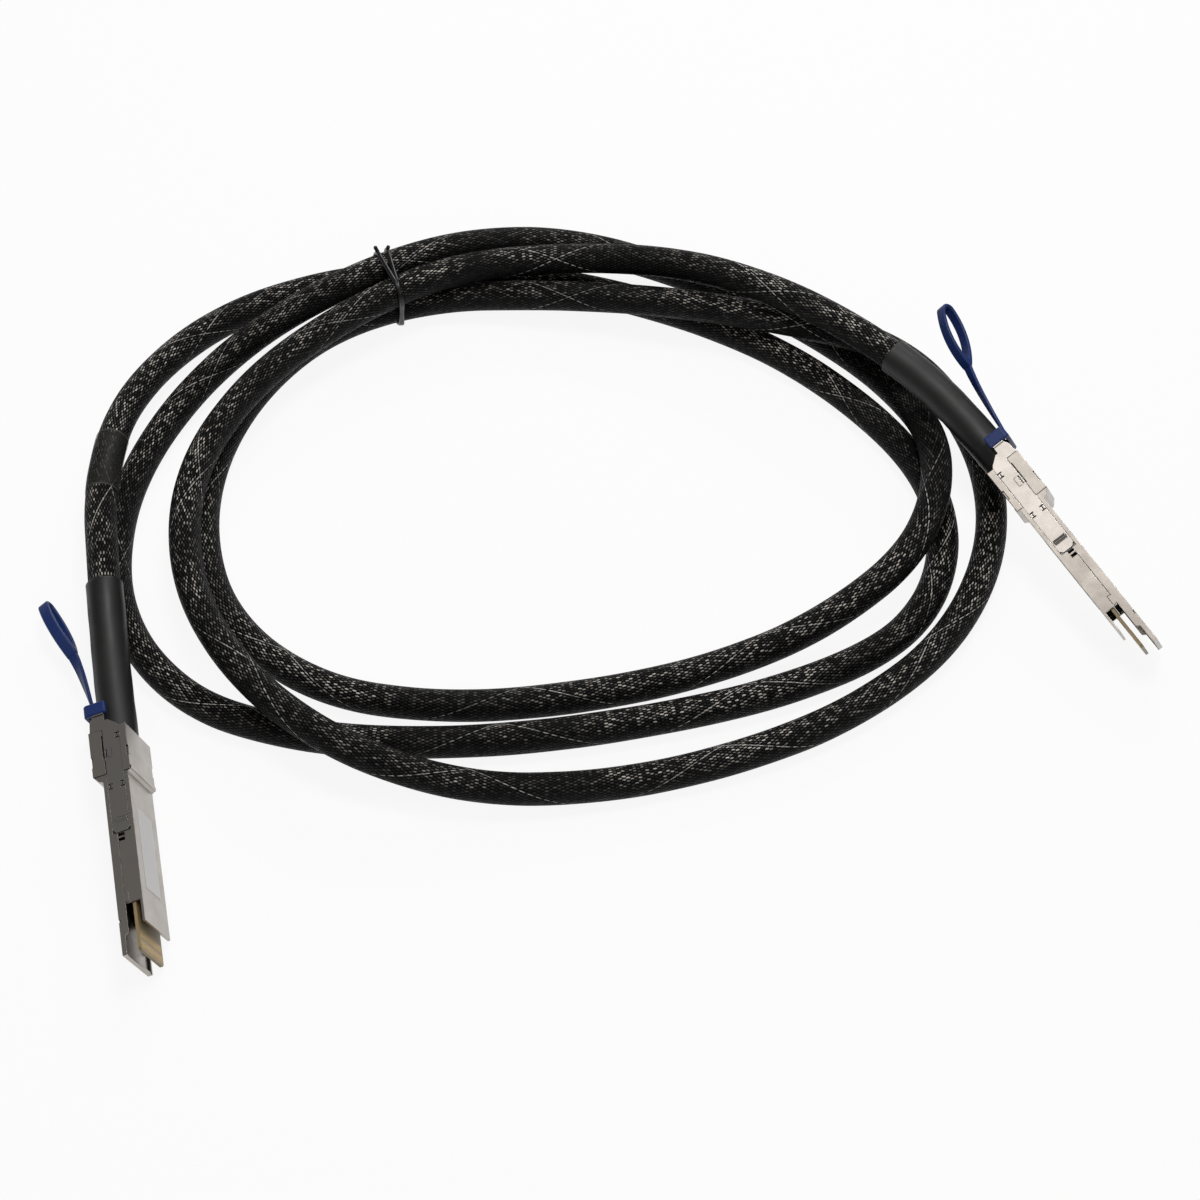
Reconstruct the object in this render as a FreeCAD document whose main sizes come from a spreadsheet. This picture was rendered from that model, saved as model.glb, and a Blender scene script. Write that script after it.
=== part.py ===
import FreeCAD, Part
import Sketcher
import math
import os

# Direct attach copper cable: two pluggable connectors joined by one sleeved cable that lies
# in three loose turns, held by one tie. Millimetres, +Z up, the table is Z = 0.
# Each connector is modelled in its own frame first: +X towards its card edge, X = 0 at the
# rear face of the shell, Z = 0 at the underside of the part that enters the cage, Y = 0 in
# the middle. The connector's placement then lays it beside the coil.

V = FreeCAD.Vector
doc = FreeCAD.newDocument("direct_attach_cable")

# ---------------------------------------------------------------- driving dimensions
SIZES = {
    # part of the shell that enters the cage
    "body_width": 18.35,
    "body_height": 8.5,
    "shell_length": 78.3,
    "floor_wall": 0.8,
    "side_wall": 0.75,
    "split_height": 5.7,
    "side_end": 61.5,
    "lower_tongue_end": 68.8,
    "upper_flange_end": 71.0,
    "flange_slope": 0.8,
    "tongue_lip": 1.6,
    # part of the shell that stays outside the cage
    "rear_width": 18.9,
    "rear_wall": 3.0,
    "rear_top": 11.6,
    "hump_flat": 15.9,
    "hump_slope": 2.0,
    "hump_corner": 1.7,
    "hump_toe": 0.5,
    "rear_drop": 1.0,
    "step_length": 16.5,
    "step_slope": 0.7,
    "shoulder_rib": 1.3,
    "shoulder_rise": 0.35,
    "edge_notch": 0.6,
    "notch_length": 3.6,
    "hump_notch": 9.0,
    "heel_notch": 8.0,
    "side_slot": 2.2,
    "side_slot_length": 8.3,
    "side_slot_height": 0.35,
    # joint between the two half shells
    "joint_height": 0.15,
    "joint_depth": 0.3,
    "hook_start": 57.9,
    "hook_length": 2.9,
    "hook_depth": 1.3,
    "hook_flare": 0.4,
    "hook_gap": 0.12,
    "tongue_notch": 66.4,
    "tongue_notch_length": 1.0,
    "nose_lip": 0.6,
    # release slider
    "arm_thickness": 0.5,
    "arm_low": 1.3,
    "arm_high": 7.1,
    "arm_end": 37.1,
    "arm_corner": 1.1,
    "arm_clearance": 0.08,
    "arm_end_gap": 0.3,
    "arm_travel": 3.0,
    "heel_low": 2.0,
    "heel_back": 1.1,
    "heel_rise": 4.9,
    "tongue_back": 3.4,
    "tongue_low": 5.9,
    "tongue_high": 9.8,
    "tongue_end": 5.7,
    "shoulder_back": 3.8,
    "shoulder_high": 10.9,
    "crest_high": 11.2,
    "shell_gap": 0.2,
    "ridge_start": 31.6,
    "ridge_length": 2.5,
    "ridge_height": 0.7,
    "ridge_margin": 0.6,
    "fold_length": 0.5,
    "fold_rise": 0.35,
    "stake_length": 2.0,
    "stake_height": 1.5,
    "stake_cut": 0.35,
    "stake_rear": 3.2,
    "stake_front": 20.7,
    "stake_low": 2.2,
    "stake_high": 6.2,
    "emboss_start": 6.9,
    "emboss_length": 3.3,
    "emboss_low": 4.7,
    "emboss_height": 1.2,
    "emboss_rise": 0.15,
    "latch_gap": 0.1,
    "latch_length": 2.8,
    "latch_bar": 0.6,
    "latch_low": 3.4,
    "latch_high": 5.6,
    # return springs, between the rear wall and the slider's spring tabs
    "spring_radius": 0.85,
    "spring_wire": 0.22,
    "spring_turns": 9,
    "spring_room": 8.4,
    "spring_height": 4.1,
    "spring_gap": 0.05,
    "slot_clearance": 0.2,
    # paddle card
    "card_thickness": 1.0,
    "card_height": 3.2,
    "card_gap": 0.15,
    "card_setback": 0.9,
    "card_chamfer": 0.8,
    "pad_pitch": 0.8,
    "pad_width": 0.5,
    "pad_length": 2.3,
    "pad_thickness": 0.05,
    "pad_margin": 1.0,
    "pads_in_row": 19,
    # inner pieces
    "mould_end": 25.0,
    "mould_gap": 0.3,
    "mould_seat": 0.1,
    "core_radius": 4.2,
    "ferrule_wall": 0.6,
    "ferrule_length": 5.5,
    "pair_radius": 0.45,
    "pair_pitch": 1.4,
    "pairs_in_row": 8,
    "wire_length": 3.0,
    "solder_length": 4.0,
    # pull tab
    "tab_front": 6.1,
    "tab_rear": 10.4,
    "tab_low": 5.1,
    "tab_cover": 0.6,
    "tab_crown": 0.9,
    "tab_clearance": 0.15,
    "bridge_thickness": 1.3,
    "strap_thickness": 1.2,
    "strap_width": 3.6,
    "strap_corner": 0.35,
    "strap_bend": 8.0,
    "neck_back": 36.5,
    "neck_high": 17.9,
    "loop_back": 59.4,
    "loop_high": 26.0,
    "loop_bulge": 4.0,
    "loop_tip": 2.7,
    "loop_neck": 0.7,
    "loop_width": 3.9,
    "loop_slot": 2.6,
    # cable and what is on it
    "cable_diameter": 10.8,
    "cable_axis": 5.1,
    "exit_run": 26.0,
    "sleeve_gap": 0.05,
    "boot_thickness": 0.65,
    "boot_length": 57.0,
    "tape_start": 97.0,
    "tape_length": 26.0,
    "tape_thickness": 0.25,
    "tie_width": 1.5,
    "tie_thickness": 0.9,
    "tie_gap": 0.35,
    "tie_spread": 1.5,
    "tie_lean": 4.0,
}

sheet = doc.addObject("Spreadsheet::Sheet", "dims")
for row, (alias, number) in enumerate(SIZES.items(), start=1):
    sheet.set(f"A{row}", alias)
    sheet.set(f"B{row}", str(number))
    sheet.setAlias(f"B{row}", alias)
doc.recompute()


def size(alias):
    """The number that the sheet holds under this alias."""
    return float(sheet.get(alias))


def number(expression):
    """The value of an expression on the sheet's aliases."""
    value = sheet.evalExpression(expression.replace("dims.", ""))
    return float(getattr(value, "Value", value))


SPRING_STEPS = 10   # flats in each turn of a return spring

# ---------------------------------------------------------------- sketch and feature helpers
PLANES = {"XY": "XY_Plane", "XZ": "XZ_Plane", "YZ": "YZ_Plane"}


def new_body(name):
    body = doc.addObject("PartDesign::Body", name)
    body.AllowCompound = True
    return body


def bind_point(sketch, geometry, point, place):
    """Fix one sketch point at two expressions, each measured from the origin."""
    for kind, axis, text in (("DistanceX", -2, place[0]), ("DistanceY", -1, place[1])):
        if abs(number(text)) < 1e-9:
            sketch.addConstraint(_on_axis(geometry, point, axis))
        else:
            index = sketch.addConstraint(
                _distance(kind, geometry, point, number(text)))
            sketch.setExpression(f"Constraints[{index}]", text)


def _on_axis(geometry, point, axis):
    return Sketcher.Constraint("PointOnObject", geometry, point, axis)


def _distance(kind, geometry, point, value):
    return Sketcher.Constraint(kind, -1, 1, geometry, point, value)


def add_sketch(body, name, plane, outlines, circles=(), offset="0"):
    """A sketch of closed straight outlines and circles whose corners are expressions."""
    sketch = body.newObject("Sketcher::SketchObject", name)
    feature = next(f for f in body.Origin.OriginFeatures if f.Role == PLANES[plane])
    sketch.AttachmentSupport = [(feature, "")]
    sketch.MapMode = "FlatFace"
    sketch.setExpression("AttachmentOffset.Base.z", offset)
    for corners in outlines:
        ends = [V(number(u), number(v), 0) for u, v in corners]
        first = sketch.GeometryCount
        for start, end in zip(ends, ends[1:] + ends[:1]):
            sketch.addGeometry(Part.LineSegment(start, end), False)
        count = len(ends)
        for step in range(count):
            sketch.addConstraint(Sketcher.Constraint(
                "Coincident", first + step, 2, first + (step + 1) % count, 1))
        for step, corner in enumerate(corners):
            bind_point(sketch, first + step, 1, corner)
    for u, v, radius in circles:
        index = sketch.addGeometry(
            Part.Circle(V(number(u), number(v), 0), V(0, 0, 1), number(radius)), False)
        bind_point(sketch, index, 3, (u, v))
        held = sketch.addConstraint(Sketcher.Constraint("Radius", index, number(radius)))
        sketch.setExpression(f"Constraints[{held}]", radius)
    doc.recompute()
    return sketch


def rectangle(u0, v0, u1, v1):
    return [(u0, v0), (u1, v0), (u1, v1), (u0, v1)]


def add_pad(body, sketch, length, midplane=False, backwards=False):
    pad = body.newObject("PartDesign::Pad", sketch.Name + "_pad")
    pad.Profile = sketch
    pad.Midplane = midplane
    pad.Reversed = backwards
    pad.setExpression("Length", length)
    doc.recompute()
    return pad


def add_pocket(body, sketch, length, midplane=False, backwards=False):
    """A pocket that has to take material away, or the build stops."""
    before = body.Shape.Volume
    pocket = body.newObject("PartDesign::Pocket", sketch.Name + "_pocket")
    pocket.Profile = sketch
    pocket.Midplane = midplane
    pocket.Reversed = backwards
    pocket.setExpression("Length", length)
    doc.recompute()
    if body.Shape.Volume > before - 1e-6:
        raise RuntimeError(f"{pocket.Name} cuts nothing")
    return pocket


def add_plates(body, name, outline, inner, thickness):
    """Two equal plates of one outline, on both sides, their inner faces at +-inner."""
    for side, offset in (("near", inner), ("far", f"-({inner})-{thickness}")):
        sketch = add_sketch(body, f"{name}_{side}", "XZ", [outline], offset=offset)
        add_pad(body, sketch, thickness)


def cut_corners(body, name, low, high, start, length, depth):
    """Pockets along both sides, from depth outwards and from low to high."""
    sides = [rectangle(depth, low, f"{REAR_HALF}+1", high),
             rectangle(f"-{REAR_HALF}-1", low, f"-({depth})", high)]
    sketch = add_sketch(body, name, "YZ", sides, offset=start)
    return add_pocket(body, sketch, length, backwards=True)


def add_feature(name, shape):
    feature = doc.addObject("Part::Feature", name)
    feature.Shape = shape
    return feature


# ---------------------------------------------------------------- expressions used by several pieces
HALF = "dims.body_width/2"
REAR_HALF = "dims.rear_width/2"
RECESS_FACE = f"({HALF}-dims.arm_thickness-dims.arm_clearance)"
INNER_REAR = f"({RECESS_FACE}-dims.side_wall)"
INNER_FRONT = f"({HALF}-dims.side_wall)"
RECESS_END = "(dims.arm_end+dims.arm_end_gap)"
INNER_STEP = f"({RECESS_END}+dims.side_wall)"
ROOF = "(dims.body_height-dims.floor_wall)"
CARD_START = "(dims.mould_end+dims.wire_length)"
CARD_END = "(dims.shell_length-dims.card_setback)"
SPRING_TAB = "(dims.rear_wall+dims.spring_room)"
CABLE_HOLE = "dims.cable_diameter/2+dims.sleeve_gap"
BRIDGE_LOW = ("(dims.cable_axis+dims.cable_diameter/2+dims.sleeve_gap+dims.boot_thickness"
              "+dims.tab_clearance)")
BRIDGE_HIGH = f"({BRIDGE_LOW}+dims.bridge_thickness)"
STEEL_HIGH = f"({BRIDGE_HIGH}-dims.tab_cover)"


def stepped(rear, front, length):
    """Outline in the XY plane, narrow between the arm recesses and wider in front of them."""
    return [("dims.rear_wall", f"-{rear}"), (INNER_STEP, f"-{rear}"), (INNER_STEP, f"-{front}"),
            (length, f"-{front}"), (length, front), (INNER_STEP, front), (INNER_STEP, rear),
            ("dims.rear_wall", rear)]


def cut_arm_recess(body, end):
    """The flush recess that each slider arm runs in, open to the rear."""
    cut_corners(body, f"arm_recess_{end}_{body.Name}", "dims.arm_low-dims.arm_clearance",
                "dims.arm_high+dims.arm_clearance", "0", RECESS_END, RECESS_FACE)


def hook(gap):
    """Dovetail hook of the upper shell that grips the lower one's side near the mouth."""
    low = f"dims.split_height-dims.hook_depth-{gap}"
    return [(f"dims.hook_start-{gap}", "dims.split_height"),
            (f"dims.hook_start-dims.hook_flare-{gap}", low),
            (f"dims.hook_start+dims.hook_length+dims.hook_flare+{gap}", low),
            (f"dims.hook_start+dims.hook_length+{gap}", "dims.split_height")]


def cut_cable_hole(body, end):
    """Half of the round hole in the rear wall that the cable passes."""
    hole = add_sketch(body, f"cable_hole_{end}_{body.Name}", "YZ", [],
                      [("0", "dims.cable_axis", CABLE_HOLE)])
    add_pocket(body, hole, "dims.rear_wall", backwards=True)


def bottom_shell(end):
    """Lower housing: floor, low side walls, a short front tongue and the rear step."""
    body = new_body(f"bottom_shell_{end}")
    outline = [("0", "-dims.rear_drop"), ("dims.step_length", "-dims.rear_drop"),
               ("dims.step_length+dims.step_slope", "0"), ("dims.lower_tongue_end", "0"),
               ("dims.lower_tongue_end", "dims.floor_wall"),
               ("dims.side_end", "dims.floor_wall"),
               ("dims.side_end", "dims.split_height"), ("0", "dims.split_height")]
    add_pad(body, add_sketch(body, f"lower_side_{end}", "XZ", [outline]),
            "dims.body_width", midplane=True)
    rear = rectangle(f"-{REAR_HALF}", "-dims.rear_drop", REAR_HALF, "dims.split_height")
    add_pad(body, add_sketch(body, f"lower_rear_{end}", "YZ", [rear]), "dims.step_length")
    rib = rectangle("dims.step_length-dims.shoulder_rib", "-dims.rear_drop-dims.shoulder_rise",
                    "dims.step_length", "-dims.rear_drop")
    add_pad(body, add_sketch(body, f"shoulder_rib_{end}", "XZ", [rib]),
            "dims.body_width", midplane=True)
    cut_arm_recess(body, end)
    cavity = stepped(INNER_REAR, INNER_FRONT, "(dims.side_end+1)")
    add_pocket(body, add_sketch(body, f"lower_cavity_{end}", "XY", [cavity],
                                offset="dims.floor_wall"),
               "dims.body_height", backwards=True)
    well = rectangle("dims.rear_wall", f"-{INNER_REAR}",
                     "dims.step_length-dims.floor_wall", INNER_REAR)
    add_pocket(body, add_sketch(body, f"lower_well_{end}", "XY", [well],
                                offset="dims.floor_wall-dims.rear_drop"),
               "dims.body_height", backwards=True)
    cut_cable_hole(body, end)
    window = "(dims.latch_length-dims.latch_bar)/2"
    start = f"{RECESS_END}+dims.latch_gap"
    windows = [rectangle(start, "dims.latch_low", f"{start}+{window}", "dims.latch_high"),
               rectangle(f"{start}+{window}+dims.latch_bar", "dims.latch_low",
                         f"{start}+dims.latch_length", "dims.latch_high")]
    add_pocket(body, add_sketch(body, f"latch_windows_{end}", "XZ", windows),
               "dims.body_width+2", midplane=True)
    cut_corners(body, f"heel_notch_{end}", "-dims.rear_drop-1", "-dims.rear_drop+dims.edge_notch",
                "dims.heel_notch", "dims.notch_length", f"{REAR_HALF}-dims.edge_notch")
    joint_start = f"{RECESS_END}+dims.latch_length+2*dims.latch_gap"
    cut_corners(body, f"joint_groove_{end}", "dims.split_height-dims.joint_height",
                "dims.split_height+1", joint_start, f"dims.side_end+1-({joint_start})",
                f"{HALF}-dims.joint_depth")
    add_pocket(body, add_sketch(body, f"hook_seat_{end}", "XZ", [hook("dims.hook_gap")]),
               "dims.body_width+2", midplane=True)
    reach = "(dims.spring_radius+dims.spring_gap+dims.slot_clearance)"
    slot = rectangle(f"{SPRING_TAB}-dims.arm_travel-dims.slot_clearance",
                     f"dims.spring_height-{reach}",
                     f"{SPRING_TAB}+dims.arm_thickness+dims.slot_clearance",
                     f"dims.spring_height+{reach}")
    add_pocket(body, add_sketch(body, f"spring_slot_{end}", "XZ", [slot]),
               "dims.rear_width+2", midplane=True)
    return body


def top_shell(end):
    """Upper housing: rear hump, roof, side flanges and the long front tongue."""
    body = new_body(f"top_shell_{end}")
    outline = [("0", "dims.split_height"), ("0", "dims.rear_top"),
               ("dims.hump_flat", "dims.rear_top"),
               ("dims.hump_flat+dims.hump_slope", "dims.rear_top-dims.hump_corner"),
               ("dims.hump_flat+dims.hump_slope+dims.hump_toe", "dims.body_height"),
               ("dims.shell_length", "dims.body_height"),
               ("dims.shell_length", "dims.body_height-dims.tongue_lip"),
               ("dims.upper_flange_end+dims.flange_slope", "dims.body_height-dims.tongue_lip"),
               ("dims.upper_flange_end", "dims.split_height")]
    add_pad(body, add_sketch(body, f"upper_side_{end}", "XZ", [outline]),
            "dims.body_width", midplane=True)
    rear = rectangle(f"-{REAR_HALF}", "dims.split_height", REAR_HALF, "dims.rear_top")
    add_pad(body, add_sketch(body, f"upper_rear_{end}", "YZ", [rear]), "dims.hump_flat")
    cut_arm_recess(body, end)
    cavity = stepped(INNER_REAR, INNER_FRONT, "(dims.shell_length+1)")
    add_pocket(body, add_sketch(body, f"upper_cavity_{end}", "XY", [cavity], offset=ROOF),
               "dims.body_height")
    hump = rectangle("dims.rear_wall", f"-{INNER_REAR}", "dims.hump_flat-dims.floor_wall",
                     INNER_REAR)
    add_pocket(body, add_sketch(body, f"hump_well_{end}", "XY", [hump],
                                offset="dims.rear_top-dims.floor_wall"),
               "dims.rear_top")
    cut_cable_hole(body, end)
    cut_corners(body, f"hump_notch_{end}", "dims.rear_top-dims.edge_notch", "dims.rear_top+1",
                "dims.hump_notch", "dims.notch_length", f"{REAR_HALF}-dims.edge_notch")
    cut_corners(body, f"side_slot_{end}", "dims.arm_high",
                "dims.arm_high+dims.arm_clearance+dims.side_slot_height",
                "dims.side_slot", "dims.side_slot_length", RECESS_FACE)
    cut_corners(body, f"tongue_notch_{end}", "dims.body_height-dims.edge_notch",
                "dims.body_height+1", "dims.tongue_notch", "dims.tongue_notch_length",
                f"{HALF}-dims.edge_notch")
    add_plates(body, f"hook_{end}", hook("0"), INNER_FRONT, "dims.side_wall")
    lip = rectangle("dims.shell_length-dims.nose_lip", f"{ROOF}-dims.nose_lip",
                    "dims.shell_length", ROOF)
    add_pad(body, add_sketch(body, f"nose_lip_{end}", "XZ", [lip]), "dims.body_width",
            midplane=True)
    return body


def paddle_card(end):
    """Circuit card whose edge is the plug: narrow between the arm recesses, chamfered tip."""
    body = new_body(f"paddle_card_{end}")
    rear = f"({INNER_REAR}-dims.card_gap)"
    front = f"({INNER_FRONT}-dims.card_gap)"
    step = f"{INNER_STEP}+dims.card_gap"
    outline = [(CARD_START, f"-{rear}"), (step, f"-{rear}"), (step, f"-{front}"),
               (f"{CARD_END}-dims.card_chamfer", f"-{front}"),
               (CARD_END, f"-{front}+dims.card_chamfer"), (CARD_END, f"{front}-dims.card_chamfer"),
               (f"{CARD_END}-dims.card_chamfer", front), (step, front), (step, rear),
               (CARD_START, rear)]
    add_pad(body, add_sketch(body, f"card_outline_{end}", "XY", [outline],
                             offset="dims.card_height-dims.card_thickness/2"),
            "dims.card_thickness")
    return body


def contact_pads(end):
    """Two rows of gold pads on each face of the card edge."""
    body = new_body(f"contact_pads_{end}")
    near = "-dims.pad_pitch*(dims.pads_in_row-1)/2-dims.pad_width/2"
    far = "-dims.pad_pitch*(dims.pads_in_row-1)/2+dims.pad_width/2"
    front = f"{CARD_END}-dims.pad_margin"
    rows = [rectangle(f"{front}-dims.pad_length", near, front, far),
            rectangle(f"{front}-dims.pad_margin-2*dims.pad_length", near,
                      f"{front}-dims.pad_margin-dims.pad_length", far)]
    above = add_pad(body, add_sketch(
        body, f"pads_above_{end}", "XY", rows,
        offset="dims.card_height+dims.card_thickness/2"), "dims.pad_thickness")
    below = add_pad(body, add_sketch(
        body, f"pads_below_{end}", "XY", rows,
        offset="dims.card_height-dims.card_thickness/2"), "dims.pad_thickness", backwards=True)
    pattern = body.newObject("PartDesign::LinearPattern", f"pad_rows_{end}")
    pattern.Originals = [above, below]
    axis = next(f for f in body.Origin.OriginFeatures if f.Role == "Y_Axis")
    pattern.Direction = (axis, [""])
    pattern.setExpression("Length", "dims.pad_pitch*(dims.pads_in_row-1)")
    pattern.setExpression("Occurrences", "dims.pads_in_row")
    body.Tip = pattern
    doc.recompute()
    return body


def inner_mould(end):
    """Moulded block that holds the wire pairs, with a round boss under the ferrule."""
    body = new_body(f"inner_mould_{end}")
    half = f"({INNER_REAR}-2*dims.spring_radius-dims.spring_gap-dims.mould_gap)"
    block = rectangle(f"-{half}", "dims.floor_wall+dims.mould_seat", half,
                      f"{ROOF}-dims.mould_seat")
    start = "(dims.rear_wall+dims.ferrule_length)"
    add_pad(body, add_sketch(body, f"mould_block_{end}", "YZ", [block], offset=start),
            f"dims.mould_end-{start}")
    boss = [("0", "dims.cable_axis", "dims.core_radius")]
    add_pad(body, add_sketch(body, f"mould_boss_{end}", "YZ", [], boss,
                             offset="dims.rear_wall"), "dims.ferrule_length")
    return body


def wire_pairs(end):
    """Twin-axial pairs between the mould and the card, one row on each side of the card."""
    body = new_body(f"wire_pairs_{end}")
    lift = "(dims.card_thickness/2+dims.pair_radius)"
    wires = []
    for level in (f"dims.card_height+{lift}", f"dims.card_height-{lift}"):
        for pair in range(int(size("pairs_in_row"))):
            place = f"(dims.pair_pitch*({pair}-(dims.pairs_in_row-1)/2))"
            wires.append((place, level, "dims.pair_radius"))
    add_pad(body, add_sketch(body, f"wire_ends_{end}", "YZ", [], wires,
                             offset="dims.mould_end"), "dims.wire_length+dims.solder_length")
    return body


def crimp_ferrule(end):
    """Crimped ring that clamps the braid on the mould's boss."""
    body = new_body(f"crimp_ferrule_{end}")
    ring = add_sketch(body, f"ferrule_ring_{end}", "YZ", [],
                      [("0", "dims.cable_axis", "dims.core_radius+dims.ferrule_wall")],
                      offset="dims.rear_wall")
    add_pad(body, ring, "dims.ferrule_length")
    bore = add_sketch(body, f"ferrule_bore_{end}", "YZ", [],
                      [("0", "dims.cable_axis", "dims.core_radius")], offset="dims.rear_wall")
    add_pocket(body, bore, "dims.ferrule_length", backwards=True)
    return body


def stake(x, z):
    """H-shaped slot of a stake, where the strip is pressed into its neighbour."""
    near, far = f"{x}-dims.stake_length/2", f"{x}+dims.stake_length/2"
    low, high = f"{z}-dims.stake_height/2", f"{z}+dims.stake_height/2"
    left, right = f"{near}+dims.stake_cut", f"{far}-dims.stake_cut"
    under, over = f"{z}-dims.stake_cut/2", f"{z}+dims.stake_cut/2"
    return [(near, low), (left, low), (left, under), (right, under), (right, low), (far, low),
            (far, high), (right, high), (right, over), (left, over), (left, high), (near, high)]


def release_slider(end):
    """Stamped steel slider: two long arms, a cross strap behind the shell, spring tabs."""
    body = new_body(f"release_slider_{end}")
    post_rear = "-(dims.tab_rear-dims.tab_cover)"
    post_front = "-(dims.tab_front+dims.tab_cover)"
    arm = [("dims.arm_end", "dims.arm_low+dims.arm_corner"),
           ("dims.arm_end-dims.arm_corner", "dims.arm_low"), ("0", "dims.arm_low"),
           ("-dims.heel_back", "dims.heel_low"), ("-dims.tongue_back", "dims.heel_rise"),
           ("-dims.tongue_back", "dims.tongue_low"), (post_rear, "dims.tongue_low"),
           (post_rear, STEEL_HIGH), (post_front, STEEL_HIGH), (post_front, "dims.tongue_high"),
           ("-dims.tongue_end", "dims.tongue_high"),
           ("-dims.shoulder_back", "dims.shoulder_high"),
           ("-dims.shell_gap", "dims.crest_high"), ("-dims.shell_gap", "dims.arm_high"),
           ("dims.arm_end-dims.arm_corner", "dims.arm_high"),
           ("dims.arm_end", "dims.arm_high-dims.arm_corner")]
    add_plates(body, f"arm_{end}", arm, f"{HALF}-dims.arm_thickness", "dims.arm_thickness")
    stakes = [stake("dims.stake_rear", "dims.stake_low"),
              stake("dims.stake_front", "dims.stake_low"),
              stake("dims.stake_front", "dims.stake_high"),
              rectangle("dims.emboss_start", "dims.emboss_low+dims.emboss_height+dims.stake_cut",
                        "dims.emboss_start+dims.emboss_length",
                        "dims.emboss_low+dims.emboss_height+2*dims.stake_cut")]
    add_pocket(body, add_sketch(body, f"stakes_{end}", "XZ", stakes), "dims.body_width+2",
               midplane=True)
    emboss = rectangle("dims.emboss_start", "dims.emboss_low",
                       "dims.emboss_start+dims.emboss_length", "dims.emboss_low+dims.emboss_height")
    add_plates(body, f"emboss_{end}", emboss, HALF, "dims.emboss_rise")
    fold = rectangle("-dims.tab_front", "dims.tongue_low",
                     "-dims.tab_front+dims.fold_length", "dims.tongue_high")
    add_plates(body, f"fold_{end}", fold, HALF, "dims.fold_rise")
    strap = rectangle(post_rear, f"{STEEL_HIGH}-dims.arm_thickness", post_front, STEEL_HIGH)
    add_pad(body, add_sketch(body, f"cross_strap_{end}", "XZ", [strap]),
            "dims.body_width", midplane=True)
    inside = f"({HALF}-dims.arm_thickness/2)"
    crest = f"({HALF}+dims.ridge_height)"
    ridges = []
    for sign in ("", "-"):
        ridges.append([("dims.ridge_start", f"{sign}{inside}"),
                       ("dims.ridge_start+dims.ridge_length/2", f"{sign}{crest}"),
                       ("dims.ridge_start+dims.ridge_length", f"{sign}{inside}")])
    add_pad(body, add_sketch(body, f"release_ridges_{end}", "XY", ridges,
                             offset="dims.arm_low+dims.ridge_margin"),
            "dims.arm_high-dims.arm_low-2*dims.ridge_margin")
    inward = f"({INNER_REAR}-2*dims.spring_radius-dims.spring_gap)"
    tabs = [rectangle(SPRING_TAB, inward, f"{SPRING_TAB}+dims.arm_thickness", inside),
            rectangle(SPRING_TAB, f"-{inside}", f"{SPRING_TAB}+dims.arm_thickness", f"-{inward}")]
    add_pad(body, add_sketch(body, f"spring_tabs_{end}", "XY", tabs,
                             offset="dims.spring_height-dims.spring_radius-dims.spring_gap"),
            "2*(dims.spring_radius+dims.spring_gap)")
    return body


def return_springs(end):
    """Two small coil springs between the rear wall and the slider's tabs."""
    wire = size("spring_wire")
    coil = size("spring_radius") - wire / 2
    gap = size("spring_gap")
    length = size("spring_room") - wire - 2 * gap
    sideways = number(INNER_REAR) - gap - size("spring_radius")
    steps = SPRING_STEPS * int(size("spring_turns"))
    springs = []
    for y in (-sideways, sideways):
        centre = V(size("rear_wall") + wire / 2 + gap, y, size("spring_height"))
        points = []
        for step in range(steps + 1):
            turn = 2 * math.pi * step / SPRING_STEPS
            points.append(centre + V(length * step / steps, coil * math.cos(turn),
                                     coil * math.sin(turn)))
        path = Part.makePolygon(points)
        heading = (points[1] - points[0]).normalize()
        outward = V(0, 1, 0)
        across = heading.cross(outward) * (wire / 2)
        outward = outward * (wire / 2)
        section = Part.makePolygon([points[0] + outward + across, points[0] + outward - across,
                                    points[0] - outward - across, points[0] - outward + across,
                                    points[0] + outward + across])
        springs.append(path.makePipeShell([section], True, False, 1))
    return add_feature(f"return_springs_{end}", Part.makeCompound(springs))


def leaf(neck, tip, bulge, round_tip, half_neck):
    """Outline in the XZ plane: two bowed sides from a narrow neck to a round tip."""
    length = (tip - neck).Length
    along = (tip - neck).normalize()
    across = V(-along.z, 0, along.x)
    middle, shoulder = neck + along * (0.52 * length), tip - along * (0.6 * round_tip)
    a, b = neck + across * half_neck, shoulder + across * (0.9 * round_tip)
    c, d = shoulder - across * (0.9 * round_tip), neck - across * half_neck
    return Part.Wire([Part.Arc(a, middle + across * bulge, b).toShape(),
                      Part.Arc(b, tip, c).toShape(),
                      Part.Arc(c, middle - across * bulge, d).toShape(),
                      Part.LineSegment(d, a).toShape()])


def strap_section(place, along, twist):
    """Cross-section of the ribbon, its corners bevelled, turned about the ribbon's run."""
    across = FreeCAD.Rotation(along, twist).multVec(V(0, 1, 0))
    up = along.cross(across).normalize()
    bevel = size("strap_corner")
    half_width, half_thick = size("strap_width") / 2, size("strap_thickness") / 2
    corners = []
    for u, v in ((1, 1), (-1, 1), (-1, -1), (1, -1)):
        ends = [(u * (half_width - bevel), v * half_thick), (u * half_width, v * (half_thick - bevel))]
        for side, lift in ends if u != v else reversed(ends):
            corners.append(place + across * side + up * lift)
    return Part.makePolygon(corners + corners[:1])


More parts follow.
